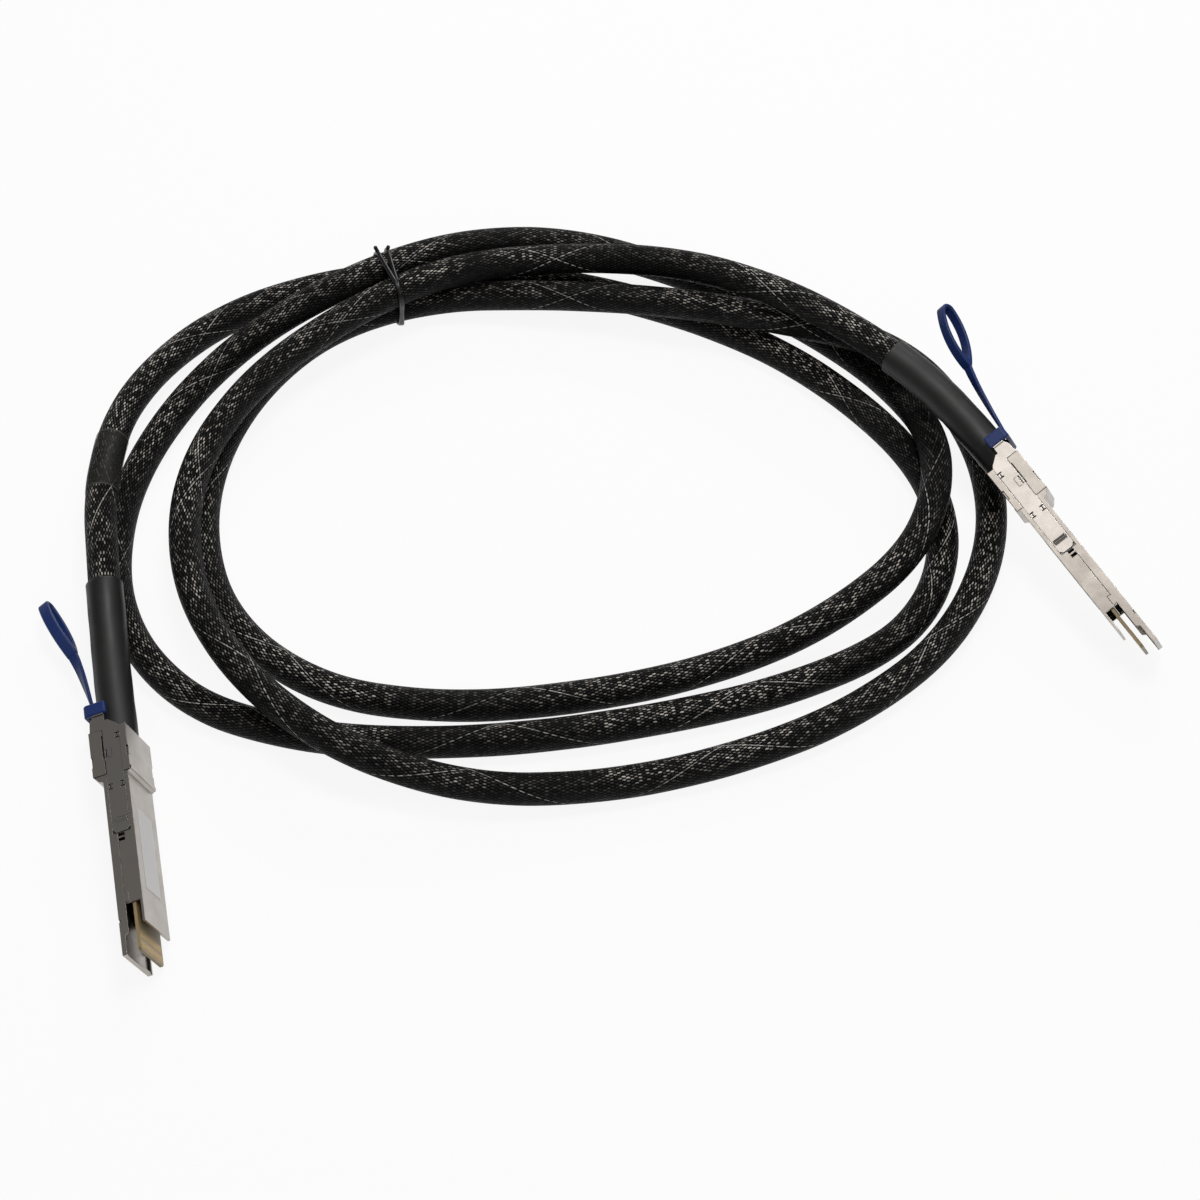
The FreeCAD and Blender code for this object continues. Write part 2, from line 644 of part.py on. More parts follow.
def pull_tab(end, slider):
    """Moulded pull tab: a saddle over the slider's strap, a ribbon and a finger loop.

    The ribbon is soft, so it bends towards its loop and is turned about its own run."""
    twist, droop = STRAP_SETS[end]
    thick = size("strap_thickness")
    front, rear, low = -size("tab_front"), -size("tab_rear"), size("tab_low")
    high = number(BRIDGE_HIGH)
    outer = number(HALF) + size("tab_cover")
    inner = number(HALF) - size("arm_thickness") - size("tab_cover")
    saddle = Part.makeBox(front - rear, 2 * outer, high - low, V(rear, -outer, low))
    crowns = [edge for edge in saddle.Edges
              if edge.BoundBox.YLength < 1e-6 and edge.BoundBox.ZMin > high - 1e-6]
    saddle = saddle.makeChamfer(size("tab_crown"), crowns)
    saddle = saddle.makeChamfer(size("strap_corner"), saddle.Edges)
    # open middle, wide enough for the cable boot that passes under the bridge
    saddle = saddle.cut(Part.makeBox(front - rear + 2, 2 * inner, number(BRIDGE_LOW) - low + 1,
                                     V(rear - 1, -inner, low - 1)))
    neck = V(-size("neck_back"), 0, size("neck_high") - droop / 2)
    tip = V(-size("loop_back"), 0, size("loop_high") - droop)
    along = (tip - neck).normalize()
    root = V(rear + thick, 0, high - size("bridge_thickness") / 2)
    bend = neck - along * size("strap_bend")
    sections = []
    for step in range(9):
        share = step / 8
        place = root * (1 - share) ** 2 + bend * (2 * share * (1 - share)) + neck * share ** 2
        run = ((bend - root) * (1 - share) + (neck - bend) * share).normalize()
        sections.append(strap_section(place, run, twist * share))
    # the ribbon ends inside the solid crotch of the loop
    sections.append(strap_section(neck + along * (size("loop_slot") / 2), along, twist))
    ribbon = Part.makeLoft(sections, True, True)
    outside = Part.Face(leaf(neck, tip, size("loop_bulge"), size("loop_tip"), size("loop_neck")))
    inside = Part.Face(leaf(neck + along * size("loop_slot"), tip - along * thick,
                            size("loop_bulge") - thick, size("loop_tip") - thick, thick / 5))
    loop = outside.cut(inside).extrude(V(0, size("loop_width"), 0))
    loop.translate(V(0, -size("loop_width") / 2, 0))
    rims = [edge for edge in loop.Edges
            if edge.BoundBox.YLength < 1e-6 and edge.Length > 2 * thick]
    loop = loop.makeChamfer(size("strap_corner"), rims)
    loop.rotate(neck, along, twist)
    solid = saddle.fuse(ribbon).fuse(loop).removeSplitter().cut(slider.Shape)
    return add_feature(f"pull_tab_{end}", solid)


# ---------------------------------------------------------------- where the connectors lie
# Place of each connector's own origin, then its heading on the table, the slope of its
# nose and its roll about its own length, in degrees.
CONNECTORS = {
    "a": (V(-147, -38.4, 13.05), -78.7, 1.3, 106.3),
    "b": (V(133.5, 57.7, 19.75), -56.0, 8.5, -62.9),
}
# The soft straps have taken a set: each is turned about its own run by so many degrees,
# and its loop has dropped by so many millimetres.
STRAP_SETS = {"a": (82.0, 0.2), "b": (50.0, 3.0)}
TIE_PLACE = V(-73, 152, 11)
TIE_HEADING = 20.0


def lie(end):
    """The placement of a connector on the table."""
    place, heading, nose_down, roll = CONNECTORS[end]
    return FreeCAD.Placement(place, FreeCAD.Rotation(heading, nose_down, roll))


# ---------------------------------------------------------------- the cable's route
# From connector a to connector b, chosen by hand: up beside its own second turn, three
# turns round the coil, then over everything into connector b.
ROUTE = [
    (-162, 19, 18.8), (-168, 58, 16.5), (-164, 101, 9), (-137, 136, 7), (-97, 154, 7),
    (-55, 158, 7), (-12, 155, 5.4), (29, 142, 5.4), (67, 122, 5.4), (97, 94, 5.4), (114, 68, 5.4),
    (118, 42, 5.4), (111, 17, 5.4), (94, -2, 5.4), (59, -18, 5.4), (20, -28, 5.4),
    (-22, -35, 5.4), (-61, -37, 5.4), (-98, -34, 5.4), (-135, -21, 5.4), (-160, 12, 5.4),
    (-163, 56, 5.4), (-149, 96, 5.4), (-122, 127, 11), (-85, 148, 18), (-48, 163, 18.5),
    (-9, 170, 11), (32, 159, 5.4), (70, 139, 5.4), (103, 110, 5.4), (118, 72, 17), (108, 31, 18),
    (74, 5, 10), (36, -10, 5.4), (-6, -20, 5.4), (-49, -24, 5.4), (-92, -17, 5.4),
    (-125, 11, 5.4), (-136, 53, 5.4), (-127, 96, 5.4), (-101, 131, 6), (-62, 147, 7),
    (-19, 145, 11), (23, 138, 16), (65, 129, 17), (107, 116, 17.3), (132, 85, 6.4),
    (135.5, 43, 5.4), (117, 2, 5.4), (83, -26, 5.4), (44, -43, 5.4), (3, -53, 5.4), (-40, -56, 9),
    (-81, -45, 16), (-114, -20, 18), (-136, 18, 16), (-139, 62, 16), (-120, 101, 17),
    (-88, 130, 18.5), (-53, 150, 19.5), (-12, 157, 17.5), (30, 151, 22), (67, 130, 29.5),
    (100, 105, 29.5),
]


def cable_edges():
    """Straight runs joined by tangent arcs, each arc as large as its two runs allow."""
    start, finish = lie("a"), lie("b")
    axis = size("cable_axis")
    wall, run = V(size("rear_wall"), 0, axis), V(-size("exit_run"), 0, axis)
    points = [start.multVec(wall), start.multVec(run)]
    points += [V(*place) for place in ROUTE]
    points += [finish.multVec(run), finish.multVec(wall)]
    edges, radii = [], []
    here = points[0]
    for before, corner, after in zip(points, points[1:], points[2:]):
        first, second = corner - before, after - corner
        turn = first.getAngle(second)
        reach = 0.45 * min(first.Length, second.Length)
        first.normalize()
        second.normalize()
        enter, leave = corner - first * reach, corner + second * reach
        radius = reach / math.tan(turn / 2)
        radii.append(radius)
        inward = (second - first).normalize()
        middle = corner + inward * (radius / math.cos(turn / 2) - radius)
        edges.append(Part.LineSegment(here, enter).toShape())
        edges.append(Part.Arc(enter, middle, leave).toShape())
        here = leave
    edges.append(Part.LineSegment(here, points[-1]).toShape())
    print("cable arcs, radii in mm:", " ".join("%.0f" % radius for radius in radii))
    return edges


def stretch(edges, start, length):
    """The part of a route between two distances along it, as a wire."""
    kept, travelled = [], 0.0
    for edge in edges:
        low = max(start - travelled, 0.0)
        high = min(start + length - travelled, edge.Length)
        if high - low > 0.01:
            first, last = edge.FirstParameter, edge.LastParameter
            scale = (last - first) / edge.Length
            kept.append(edge.Curve.toShape(first + low * scale, first + high * scale))
        travelled += edge.Length
    return Part.Wire(kept)


def tube(path, radius):
    """A round bar of this radius along a wire."""
    edge = path.OrderedEdges[0]
    start = edge.valueAt(edge.FirstParameter)
    heading = edge.tangentAt(edge.FirstParameter)
    section = Part.Wire(Part.makeCircle(radius, start, heading))
    return path.makePipeShell([section], True, False)


def turned(edges):
    """The same route walked from its other end."""
    back = []
    for edge in reversed(edges):
        if isinstance(edge.Curve, Part.Circle):
            middle = edge.valueAt((edge.FirstParameter + edge.LastParameter) / 2)
            back.append(Part.Arc(edge.lastVertex().Point, middle,
                                 edge.firstVertex().Point).toShape())
        else:
            back.append(Part.LineSegment(edge.lastVertex().Point,
                                         edge.firstVertex().Point).toShape())
    return back


def cable(edges):
    """The sleeved cable, one round bar from ferrule to ferrule."""
    path = Part.Wire(edges)
    solid = tube(path, size("cable_diameter") / 2)
    section = math.pi * size("cable_diameter") ** 2 / 4
    print("cable length %.1f mm, volume %.4f of section times length"
          % (path.Length, solid.Volume / (section * path.Length)))
    return add_feature("cable", solid)


def sleeve(name, edges, start, length, thickness):
    """A hollow sleeve that hugs the cable over a stretch of its route."""
    bore = size("cable_diameter") / 2 + size("sleeve_gap")
    outer = tube(stretch(edges, start, length), bore + thickness)
    inner = tube(stretch(edges, start - 1, length + 2), bore)
    return add_feature(name, outer.cut(inner))


def tie_band(path, heading, middle):
    """One flat band round every strand that passes its plane, as a taut hull."""
    along = V(math.cos(math.radians(heading)), math.sin(math.radians(heading)), 0)
    across = V(-along.y, along.x, 0)
    frame = FreeCAD.Placement(middle, FreeCAD.Rotation(across, V(0, 0, 1), along, "XYZ"))
    reach = 4 * size("cable_diameter")
    window = Part.makePlane(2 * reach, 2 * reach, V(-reach, -reach, 0))
    window.Placement = frame
    strands = [frame.inverse().multVec(v.Point) for v in path.section(window).Vertexes]
    mean = V(sum(p.x for p in strands) / len(strands), sum(p.y for p in strands) / len(strands), 0)
    strands.sort(key=lambda p: math.atan2(p.y - mean.y, p.x - mean.x))
    hull = Part.Face(Part.makePolygon([V(p.x, p.y, 0) for p in strands + strands[:1]]))
    bore = size("cable_diameter") / 2 + size("tie_gap")
    width = size("tie_width")
    ring = hull.makeOffset2D(bore + size("tie_thickness")).cut(hull.makeOffset2D(bore))
    band = ring.extrude(V(0, 0, width))
    band.translate(V(0, 0, -width / 2))
    band.Placement = frame
    return band


def cable_tie(edges):
    """Two thin crossing bands round the four strands of the coil."""
    path = Part.Wire(edges)
    heading = math.radians(TIE_HEADING)
    shift = V(math.cos(heading), math.sin(heading), 0) * size("tie_spread")
    lean = size("tie_lean")
    first = tie_band(path, TIE_HEADING + lean, TIE_PLACE - shift)
    second = tie_band(path, TIE_HEADING - lean, TIE_PLACE + shift)
    return add_feature("cable_tie", first.fuse(second))


# ---------------------------------------------------------------- the document
edges = cable_edges()
pieces = []
for end in ("a", "b"):
    slider = release_slider(end)
    group = [bottom_shell(end), top_shell(end), paddle_card(end), contact_pads(end),
             inner_mould(end), wire_pairs(end), crimp_ferrule(end), slider,
             return_springs(end), pull_tab(end, slider)]
    for piece in group:
        piece.Placement = lie(end)
    pieces += group
pieces.append(cable(edges))
for name, walked in (("cable_boot_a", edges), ("cable_boot_b", turned(edges))):
    pieces.append(sleeve(name, walked, size("rear_wall"), size("boot_length"),
                         size("boot_thickness")))
pieces.append(sleeve("tape_wrap", edges, size("tape_start"), size("tape_length"),
                     size("tape_thickness")))
pieces.append(cable_tie(edges))
doc.recompute()

# ---------------------------------------------------------------- checks and export
for item in doc.Objects:
    if "Invalid" in item.State or "Error" in item.State:
        raise RuntimeError(f"{item.Name} failed: {item.State}")
os.makedirs("parts", exist_ok=True)
for piece in pieces:
    piece.Label = piece.Name
    shape = piece.Shape
    if shape.isNull() or not shape.isValid() or not shape.Solids:
        raise RuntimeError(f"{piece.Name} has no valid solid")
    shape.exportStep(f"parts/{piece.Label}.step")
print(len(pieces), "pieces written")
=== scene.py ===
# Direct attach copper cable: two metal plugs on one sleeved cable that lies in three loose
# turns. Metres, +Z up, the table is Z = 0. The sections follow the order of assembly.
import math

import bpy
from mathutils import Matrix, Vector


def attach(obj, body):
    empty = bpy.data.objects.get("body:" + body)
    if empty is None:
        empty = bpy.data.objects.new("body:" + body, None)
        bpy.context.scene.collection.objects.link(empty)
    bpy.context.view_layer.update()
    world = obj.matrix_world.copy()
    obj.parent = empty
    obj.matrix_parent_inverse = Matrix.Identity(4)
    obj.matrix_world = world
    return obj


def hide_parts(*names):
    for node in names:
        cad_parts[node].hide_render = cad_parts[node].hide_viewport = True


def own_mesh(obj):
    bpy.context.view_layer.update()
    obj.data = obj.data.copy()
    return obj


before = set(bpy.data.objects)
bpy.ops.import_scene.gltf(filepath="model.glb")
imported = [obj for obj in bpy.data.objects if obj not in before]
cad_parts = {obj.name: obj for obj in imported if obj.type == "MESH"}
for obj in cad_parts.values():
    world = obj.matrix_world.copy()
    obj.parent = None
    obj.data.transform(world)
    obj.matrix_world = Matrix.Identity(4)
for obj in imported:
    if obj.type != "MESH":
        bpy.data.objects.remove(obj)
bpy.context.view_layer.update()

# ---------------------------------------------------------------- camera over the table
# A camera on a stand in front of the table, about 0.7 m up, tilted down towards the coil.
# A long lens from there keeps the two plugs nearly as large as each other.
CAMERA_PLACE = (0.001, -0.455, 0.7285)
CAMERA_TILT = 33.2
camera = bpy.data.objects.new("camera", bpy.data.cameras.new("camera"))
camera.data.lens = 78.0
camera.data.sensor_width = 36.0
camera.data.clip_start = 0.01
camera.location = CAMERA_PLACE
camera.rotation_euler = (math.radians(CAMERA_TILT), 0.0, 0.0)
bpy.context.collection.objects.link(camera)
bpy.context.scene.camera = camera

# ---------------------------------------------------------------- sleeved cable
# Sixteen twin-axial pairs under shields, drawn into a braided sleeve of black monofilament.
# It leaves the left plug, makes three loose turns and enters the right plug from above.
CABLE_DIAMETER = 0.0108
SLEEVE_STEP = 0.0022
SLEEVE_SIDES = 32
SLEEVE_FIT = 0.983
SWELL_SHARE, RIPPLE_SHARE, OVAL_SHARE = 0.006, 0.004, 0.006
YARNS = 32
FILAMENTS = 3
MARKED_YARN = 5
BRAID_CELL = 0.0026
BRAID_RELIEF = 0.0006
DEEP_BLACK = (0.0004, 0.0004, 0.0004, 1)
CROWN_BLACK = (0.0035, 0.0033, 0.0031, 1)
# painted glint: a pale colour put on the yarn crowns in place of their highlights
PAINTED_CROWN_GLINT = (0.66, 0.62, 0.56, 1)
TRACER_THREAD = (0.50, 0.49, 0.47, 1)

CABLE_ROUTE = [
    (-0.1512, -0.0423, 0.0116), (-0.1569, -0.0138, 0.0122), (-0.1620, 0.0190, 0.0188),
    (-0.1680, 0.0580, 0.0165), (-0.1640, 0.1010, 0.0090), (-0.1370, 0.1360, 0.0070),
    (-0.0970, 0.1540, 0.0070), (-0.0550, 0.1580, 0.0070), (-0.0120, 0.1550, 0.0054),
    (0.0290, 0.1420, 0.0054), (0.0670, 0.1220, 0.0054), (0.0970, 0.0940, 0.0054),
    (0.1140, 0.0680, 0.0054), (0.1180, 0.0420, 0.0054), (0.1110, 0.0170, 0.0054),
    (0.0940, -0.0020, 0.0054), (0.0590, -0.0180, 0.0054), (0.0200, -0.0280, 0.0054),
    (-0.0220, -0.0350, 0.0054), (-0.0610, -0.0370, 0.0054), (-0.0980, -0.0340, 0.0054),
    (-0.1350, -0.0210, 0.0054), (-0.1600, 0.0120, 0.0054), (-0.1630, 0.0560, 0.0054),
    (-0.1490, 0.0960, 0.0054), (-0.1220, 0.1270, 0.0110), (-0.0850, 0.1480, 0.0180),
    (-0.0480, 0.1630, 0.0185), (-0.0090, 0.1700, 0.0110), (0.0320, 0.1590, 0.0054),
    (0.0700, 0.1390, 0.0054), (0.1030, 0.1100, 0.0054), (0.1180, 0.0720, 0.0170),
    (0.1080, 0.0310, 0.0180), (0.0740, 0.0050, 0.0100), (0.0360, -0.0100, 0.0054),
    (-0.0060, -0.0200, 0.0054), (-0.0490, -0.0240, 0.0054), (-0.0920, -0.0170, 0.0054),
    (-0.1250, 0.0110, 0.0054), (-0.1360, 0.0530, 0.0054), (-0.1270, 0.0960, 0.0054),
    (-0.1010, 0.1310, 0.0060), (-0.0620, 0.1470, 0.0070), (-0.0190, 0.1450, 0.0110),
    (0.0230, 0.1380, 0.0160), (0.0650, 0.1290, 0.0170), (0.1070, 0.1160, 0.0173),
    (0.1320, 0.0850, 0.0064), (0.1355, 0.0430, 0.0054), (0.1170, 0.0020, 0.0054),
    (0.0830, -0.0260, 0.0054), (0.0440, -0.0430, 0.0054), (0.0030, -0.0530, 0.0054),
    (-0.0400, -0.0560, 0.0090), (-0.0810, -0.0450, 0.0160), (-0.1140, -0.0200, 0.0180),
    (-0.1360, 0.0180, 0.0160), (-0.1390, 0.0620, 0.0160), (-0.1200, 0.1010, 0.0170),
    (-0.0880, 0.1300, 0.0185), (-0.0530, 0.1500, 0.0195), (-0.0120, 0.1570, 0.0175),
    (0.0300, 0.1510, 0.0220), (0.0670, 0.1300, 0.0295), (0.1000, 0.1050, 0.0295),
    (0.1231, 0.0813, 0.0259), (0.1391, 0.0575, 0.0216),
]


def cable_line(places):
    """The smooth line that the cable lies on, read from a curve with no thickness."""
    curve = bpy.data.curves.new("cable_route", "CURVE")
    curve.dimensions = "3D"
    curve.resolution_u = 16
    spline = curve.splines.new("NURBS")
    spline.points.add(len(places) - 1)
    for point, place in zip(spline.points, places):
        point.co = (*place, 1.0)
    spline.order_u = 3
    spline.use_endpoint_u = True
    holder = bpy.data.objects.new("cable_route", curve)
    bpy.context.collection.objects.link(holder)
    mesh = bpy.data.meshes.new_from_object(holder)
    line = [vertex.co.copy() for vertex in mesh.vertices]
    bpy.data.objects.remove(holder)
    bpy.data.meshes.remove(mesh)
    bpy.data.curves.remove(curve)
    return line


class Strand:
    """A line with its length measured, and a frame that doesn't twist along it."""

    def __init__(self, line):
        self.line = line
        self.marks = [0.0]
        for here, there in zip(line, line[1:]):
            self.marks.append(self.marks[-1] + (there - here).length)
        self.length = self.marks[-1]
        self.along = []
        for index in range(len(line)):
            before = line[max(index - 1, 0)]
            after = line[min(index + 1, len(line) - 1)]
            self.along.append((after - before).normalized())
        side = self.along[0].orthogonal().normalized()
        self.sides = [side]
        for before, after in zip(self.along, self.along[1:]):
            side = before.rotation_difference(after) @ side
            side = (side - after * side.dot(after)).normalized()
            self.sides.append(side)

    def at(self, distance):
        """Place, heading and side of the line at a distance along it."""
        distance = min(max(distance, 0.0), self.length)
        low, high = 0, len(self.marks) - 1
        while high - low > 1:
            middle = (low + high) // 2
            if self.marks[middle] <= distance:
                low = middle
            else:
                high = middle
        share = (distance - self.marks[low]) / max(self.marks[high] - self.marks[low], 1e-9)
        place = self.line[low].lerp(self.line[high], share)
        along = self.along[low].lerp(self.along[high], share).normalized()
        side = self.sides[low].lerp(self.sides[high], share)
        side = (side - along * side.dot(along)).normalized()
        return place, along, side


def new_piece(name, vertices, faces):
    """A mesh object in the scene, from its corners and its faces."""
    mesh = bpy.data.meshes.new(name)
    mesh.from_pydata(vertices, [], faces)
    piece = bpy.data.objects.new(name, mesh)
    bpy.context.collection.objects.link(piece)
    return piece


def wrap_tube(name, strand, rings, sides, radius, capped=False):
    """A round skin on a strand: rings are distances along it, radius(ring, turn) in metres."""
    vertices, faces, loops = [], [], []
    for number, distance in enumerate(rings):
        place, along, side = strand.at(distance)
        up = along.cross(side)
        for step in range(sides):
            turn = step / sides
            reach = radius(number, turn)
            angle = 2 * math.pi * turn
            vertices.append(place + (side * math.cos(angle) + up * math.sin(angle)) * reach)
    for number in range(len(rings) - 1):
        for step in range(sides):
            after = (step + 1) % sides
            start, end = number * sides, (number + 1) * sides
            faces.append((start + step, start + after, end + after, end + step))
            near, far = rings[number], rings[number + 1]
            low, high = step / sides, (step + 1) / sides
            loops += [(near, low), (near, high), (far, high), (far, low)]
    if capped:
        faces.append(tuple(reversed(range(sides))))
        faces.append(tuple(range((len(rings) - 1) * sides, len(rings) * sides)))
        loops += [(rings[0], 0.0)] * sides + [(rings[-1], 0.0)] * sides
    piece = new_piece(name, vertices, faces)
    layer = piece.data.uv_layers.new(name="UVMap")
    for loop, place in zip(layer.data, loops):
        loop.uv = place
    piece.data.polygons.foreach_set("use_smooth", [True] * len(faces))
    return piece


class Finish:
    """A material under construction: its node tree, its surface shader and short sums."""

    def __init__(self, name):
        self.material = bpy.data.materials.new(name)
        self.material.use_nodes = True
        self.nodes = self.material.node_tree.nodes
        self.links = self.material.node_tree.links
        self.surface = self.nodes["Principled BSDF"]

    def add(self, kind, **values):
        node = self.nodes.new(kind)
        for key, value in values.items():
            setattr(node, key, value)
        return node

    def feed(self, socket, value):
        if isinstance(value, bpy.types.NodeSocket):
            self.links.new(value, socket)
        else:
            socket.default_value = value

    def sum(self, kind, *values):
        node = self.add("ShaderNodeMath", operation=kind)
        for socket, value in zip(node.inputs, values):
            self.feed(socket, value)
        return node.outputs[0]

    def mix(self, share, first, second):
        """From the first colour to the second. A Mix node has them on sockets 6 and 7."""
        node = self.add("ShaderNodeMix", data_type="RGBA")
        self.feed(node.inputs["Factor"], share)
        self.feed(node.inputs[6], first)
        self.feed(node.inputs[7], second)
        return node.outputs[2]

    def noise(self, scale, detail=2.0, roughness=0.5):
        node = self.add("ShaderNodeTexNoise")
        node.inputs["Scale"].default_value = scale
        node.inputs["Detail"].default_value = detail
        node.inputs["Roughness"].default_value = roughness
        place = self.add("ShaderNodeTexCoord").outputs["Object"]
        self.links.new(place, node.inputs["Vector"])
        return node.outputs["Fac"]

    def spot(self):
        """How far a spot is along its strand, in metres, and round it, in turns."""
        split = self.add("ShaderNodeSeparateXYZ")
        self.links.new(self.add("ShaderNodeUVMap", uv_map="UVMap").outputs[0], split.inputs[0])
        return split.outputs[0], split.outputs[1]

    def ramp(self, value, low, high, first=0.0, last=1.0):
        node = self.add("ShaderNodeMapRange")
        self.feed(node.inputs["Value"], value)
        node.inputs["From Min"].default_value = low
        node.inputs["From Max"].default_value = high
        node.inputs["To Min"].default_value = first
        node.inputs["To Max"].default_value = last
        return node.outputs["Result"]

    def bump(self, height, distance):
        node = self.add("ShaderNodeBump")
        node.inputs["Strength"].default_value = 1.0
        node.inputs["Distance"].default_value = distance
        self.links.new(height, node.inputs["Height"])
        self.links.new(node.outputs["Normal"], self.surface.inputs["Normal"])
        return node

    def put(self, **sockets):
        names = {"colour": "Base Color", "roughness": "Roughness", "metal": "Metallic",
                 "gloss": "Specular IOR Level", "alpha": "Alpha"}
        for key, value in sockets.items():
            self.feed(self.surface.inputs[names[key]], value)


def yarns_one_way(finish, across, along, phase):
    """Height of the yarns that run one way, where the tracer shows, and each yarn's number."""
    yarn = finish.sum("FLOOR", across)
    inside = finish.sum("FRACT", across)
    # round back of the yarn, then the ridges of its filaments
    off_middle = finish.sum("ABSOLUTE", finish.sum("MULTIPLY_ADD", inside, 2.0, -1.0))
    back = finish.sum("SQRT", finish.sum("MAXIMUM", finish.sum(
        "SUBTRACT", 1.0, finish.sum("POWER", off_middle, 2.0)), 0.0))
    ridges = finish.sum("ABSOLUTE", finish.sum("SINE", finish.sum(
        "MULTIPLY", inside, FILAMENTS * math.pi)))
    crown = finish.sum("MULTIPLY_ADD", ridges, 0.12, finish.sum("MULTIPLY", back, 0.88))
    # over one yarn and under the next
    wave = finish.sum("SINE", finish.sum(
        "MULTIPLY_ADD", finish.sum("ADD", along, yarn), math.pi, phase))
    lift = finish.sum("MULTIPLY_ADD", wave, 0.5, 0.5)
    height = finish.sum("MULTIPLY", crown, lift)
    # the tracer lies in the middle of its yarn, and shows where that yarn is on top
    number = finish.sum("FLOORED_MODULO", yarn, float(YARNS))
    marked = finish.sum("COMPARE", number, float(MARKED_YARN), 0.5)
    middle = finish.sum("LESS_THAN", off_middle, 0.28)
    seen = finish.sum("GREATER_THAN", lift, 0.3)
    tracer = finish.sum("MULTIPLY", finish.sum("MULTIPLY", marked, middle), seen)
    return height, tracer, yarn


def braid_material():
    """Plain weave of glossy black yarns, one of them each way with a pale tracer in it."""
    finish = Finish("braided_monofilament")
    far, turn = finish.spot()
    length = finish.sum("MULTIPLY", far, 1.0 / BRAID_CELL)
    round_it = finish.sum("MULTIPLY", turn, float(YARNS))
    right = finish.sum("ADD", length, round_it)
    left = finish.sum("SUBTRACT", length, round_it)
    first_height, first_tracer, first_yarn = yarns_one_way(finish, right, left, 0.0)
    second_height, second_tracer, second_yarn = yarns_one_way(finish, left, right, math.pi)
    # no two crossings sit at quite the same height or carry the same painted glint
    crossing = finish.add("ShaderNodeCombineXYZ")
    finish.links.new(first_yarn, crossing.inputs[0])
    finish.links.new(second_yarn, crossing.inputs[1])
    chance = finish.add("ShaderNodeTexWhiteNoise", noise_dimensions="2D")
    finish.links.new(crossing.outputs[0], chance.inputs["Vector"])
    seat = finish.ramp(chance.outputs["Value"], 0.0, 1.0, 0.7, 1.1)
    top = finish.sum("MULTIPLY", finish.sum("MAXIMUM", first_height, second_height), seat)
    black = finish.mix(finish.ramp(top, 0.2, 0.95), DEEP_BLACK, CROWN_BLACK)
    # a highlight is painted on the crowns, brightest where the sleeve faces up, and in noise
    # patches
    glint_chance = finish.sum("MULTIPLY_ADD", finish.sum("POWER", chance.outputs["Value"], 2.2), 0.9, 0.1)
    facing = finish.add("ShaderNodeSeparateXYZ")
    finish.links.new(finish.add("ShaderNodeNewGeometry").outputs["Normal"], facing.inputs[0])
    # the upper side of the sleeve gets the most painted glint
    glint_upper_side = finish.ramp(facing.outputs[2], 0.55, 0.93, 0.05, 1.0)
    glint_patches = finish.ramp(finish.noise(26.0, 2.0), 0.42, 0.60, 0.16, 1.0)
    painted_glint = finish.sum("MULTIPLY", finish.ramp(top, 0.68, 0.90), glint_chance)
    painted_glint = finish.sum("MULTIPLY", painted_glint, finish.sum("MULTIPLY", glint_upper_side, glint_patches))
    # the painted glint is mixed over the black yarns here
    yarn = finish.mix(painted_glint, black, PAINTED_CROWN_GLINT)
    # the tracers are rubbed off here and there
    faded = finish.ramp(finish.noise(75.0, 2.0), 0.40, 0.56, 0.4, 1.0)
    tracer = finish.sum("MAXIMUM", first_tracer, second_tracer)
    finish.put(colour=finish.mix(finish.sum("MULTIPLY", tracer, faded), yarn, TRACER_THREAD),
               roughness=finish.ramp(top, 0.25, 0.8, 0.9, 0.3), gloss=0.12)
    finish.bump(top, BRAID_RELIEF)
    return finish.material


sleeve_line = Strand(cable_line(CABLE_ROUTE))
ring_count = int(sleeve_line.length / SLEEVE_STEP)
sleeve_rings = [sleeve_line.length * ring / ring_count for ring in range(ring_count + 1)]


def sleeve_radius(ring, turn):
    """The loose braid swells and thins a little along the cable, and isn't quite round."""
    place = sleeve_rings[ring]
    swell = SWELL_SHARE * math.sin(place / 0.0131 + 1.0)
    ripple = RIPPLE_SHARE * math.sin(place / 0.0047 + 2.0)
    oval = OVAL_SHARE * math.cos(4 * math.pi * turn + place / 0.021)
    return CABLE_DIAMETER / 2 * (SLEEVE_FIT + (swell + ripple) + oval)


sleeve = wrap_tube("braided_sleeve", sleeve_line, sleeve_rings, SLEEVE_SIDES, sleeve_radius,
                   capped=True)
sleeve.data.materials.append(braid_material())
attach(sleeve, "cable_assembly")
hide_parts("cable")

# ---------------------------------------------------------------- shrunk boots
# A length of black shrink tube behind each plug. It is slid over the sleeve and shrunk, so it
# hugs the braid, and its mouth ends in a thin square lip.
BOOT_RADIUS = 0.0061
BOOT_START = 0.0031
BOOT_LENGTH = 0.0565
BOOT_STEPS, BOOT_SIDES = 48, 40
# how far past the mouth, and how far inward, each ring of the lip lies
BOOT_LIP = ((0.00018, 0.00005), (0.0003, 0.00018), (0.0003, 0.0005), (0.0, 0.00078))
BOOT_CREASE = 0.030
CREASE_WIDTH, CREASE_DEPTH = 0.0011, 0.00016


def boot_material():
    """Dull black shrink tube with a little dust and a few scuffs."""
    finish = Finish("shrink_tube")
    scuffs = finish.ramp(finish.noise(95.0, 6.0, roughness=0.65), 0.52, 0.78)
    grain = finish.noise(900.0, 3.0)
    dust = finish.ramp(finish.noise(40.0, 4.0), 0.35, 0.75)
    base = finish.mix(dust, (0.0085, 0.0083, 0.0082, 1), (0.0135, 0.0131, 0.0128, 1))
    worn = finish.mix(finish.sum("MULTIPLY", scuffs, 0.35), base, (0.030, 0.029, 0.028, 1))
    finish.put(colour=worn, roughness=finish.ramp(dust, 0.0, 1.0, 0.44, 0.56), gloss=0.4)
    finish.bump(finish.sum("MULTIPLY_ADD", grain, 0.3, scuffs), 0.00003)
    return finish.material


